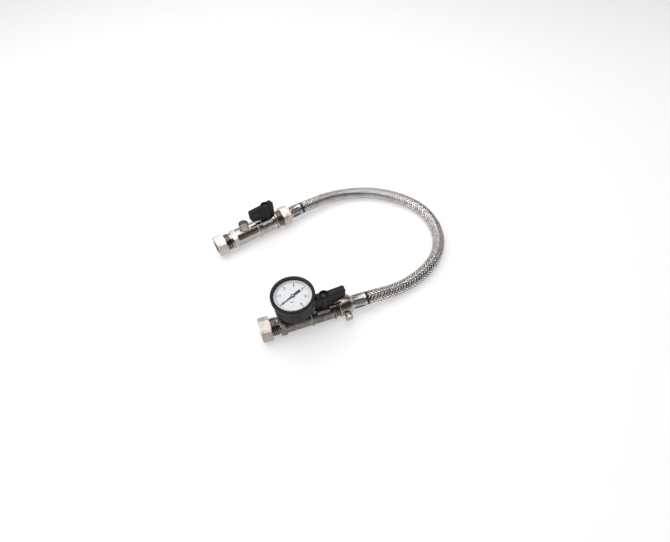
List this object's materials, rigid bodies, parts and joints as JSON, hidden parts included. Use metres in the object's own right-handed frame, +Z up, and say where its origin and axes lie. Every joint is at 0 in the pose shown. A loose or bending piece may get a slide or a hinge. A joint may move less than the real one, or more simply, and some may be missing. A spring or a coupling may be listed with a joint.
{
  "type": "filling loop",
  "caption": "Filling loop: quarter-turn valves joined by a braided hose, one with check cartridges and one with a pressure gauge, with compression ends for 15 mm pipe",
  "frame": {"origin": "on the surface the part lies on, under the middle of the box round the two valves, without the hose and its fittings", "axes": "+X runs along the heating valve from its pipe nut to its hose nut, +Z is up, and the mains valve lies at +Y, turned 14.2 degrees from +X towards +Y"},
  "size_m": [0.2845, 0.2037, 0.0635],
  "materials": {
    "nickel_plated_brass": "polished nickel plate with fine turning marks",
    "brass": "turned brass",
    "chromed_ball": "mirror chrome",
    "white_seat": "smooth white fluoropolymer",
    "check_plastic": "moulded acetal",
    "rubber_seal": "moulded rubber",
    "fibre_washer": "pressed fibre",
    "black_handle": "moulded nylon with a fine grain",
    "steel_screw": "zinc plated",
    "steel_ferrule": "pressed stainless steel",
    "steel_braid": "woven stainless steel wire over a rubber tube",
    "gauge_case": "satin black",
    "gauge_bezel": "satin to gloss black",
    "dial_face": "white enamel with black marks",
    "gauge_pointer": "matt black",
    "gauge_window": "clear"
  },
  "bodies": {
    "root": {"mains_compression_nut": "nickel_plated_brass", "mains_olive": "brass", "mains_housing": "nickel_plated_brass", "mains_ball_body": "nickel_plated_brass", "mains_ball_seat_1": "white_seat", "mains_ball_seat_2": "white_seat", "mains_end_piece": "nickel_plated_brass", "mains_port_washer": "fibre_washer", "mains_hose_washer": "rubber_seal", "mains_hose_tail": "brass", "mains_ferrule": "steel_ferrule", "heating_compression_nut": "nickel_plated_brass", "heating_olive": "brass", "heating_housing": "nickel_plated_brass", "heating_ball_body": "nickel_plated_brass", "heating_ball_seat_1": "white_seat", "heating_ball_seat_2": "white_seat", "heating_end_piece": "nickel_plated_brass", "heating_port_washer": "fibre_washer", "heating_hose_washer": "rubber_seal", "heating_hose_tail": "brass", "heating_ferrule": "steel_ferrule", "mains_test_plug": "nickel_plated_brass", "mains_hose_nut": "nickel_plated_brass", "heating_wing_nut": "nickel_plated_brass", "hose": "steel_braid", "mains_check_seat_1": "check_plastic", "mains_check_cage_1": "check_plastic", "mains_check_spring_1": "steel_screw", "mains_check_seat_2": "check_plastic", "mains_check_cage_2": "check_plastic", "mains_check_spring_2": "steel_screw", "gauge_socket": "brass", "gauge_case": "gauge_case", "gauge_pressure_tube": "brass", "gauge_movement": "brass", "gauge_dial": "dial_face", "gauge_window": "gauge_window", "gauge_bezel": "gauge_bezel"},
    "mains_lever": {"mains_handle": "black_handle", "mains_handle_screw": "steel_screw", "mains_stem": "brass", "mains_stem_seal": "rubber_seal", "mains_ball": "chromed_ball"},
    "heating_lever": {"heating_handle": "black_handle", "heating_handle_screw": "steel_screw", "heating_stem": "brass", "heating_stem_seal": "rubber_seal", "heating_ball": "chromed_ball"},
    "gauge_needle": {"gauge_pointer": "gauge_pointer", "gauge_spindle": "brass"},
    "gauge_sector": {"gauge_sector": "brass"},
    "mains_poppet_1": {"mains_check_poppet_1": "check_plastic"},
    "mains_poppet_2": {"mains_check_poppet_2": "check_plastic"}
  },
  "joints": [
    {"name": "mains_handle_turn", "type": "hinge", "parent": "root", "child": "mains_lever", "pos_m": [0.01175, 0.07839, 0.01365], "axis": [0, 0, 1], "range_deg": [-10, 80]},
    {"name": "heating_handle_turn", "type": "hinge", "parent": "root", "child": "heating_lever", "pos_m": [0.03725, -0.0719, 0.01365], "axis": [0, 0, 1], "range_deg": [0, 90]},
    {"name": "gauge_pointer_turn", "type": "hinge", "parent": "root", "child": "gauge_needle", "pos_m": [0.00515, -0.0719, 0.05365], "axis": [0, 0, -1], "range_deg": [0, 270], "stiffness_Nm_per_rad": 0.0002},
    {"name": "gauge_sector_turn", "type": "hinge", "parent": "root", "child": "gauge_sector", "pos_m": [-0.00275, -0.0719, 0.04865], "axis": [0, 0, 1], "range_deg": [0, 66]},
    {"name": "mains_check_1_open", "type": "slide", "parent": "root", "child": "mains_poppet_1", "axis": [0.9694, 0.2453, 0], "range_m": [0, 0.0025], "stiffness_N_per_m": 120, "springref_m": -0.003, "deforming": ["mains_check_spring_1"]},
    {"name": "mains_check_2_open", "type": "slide", "parent": "root", "child": "mains_poppet_2", "axis": [0.9694, 0.2453, 0], "range_m": [0, 0.0025], "stiffness_N_per_m": 120, "springref_m": -0.003, "deforming": ["mains_check_spring_2"]}
  ],
  "couplings": [
    {"joint": "gauge_sector_turn", "follows": "gauge_pointer_turn", "ratio": 0.24194}
  ]
}
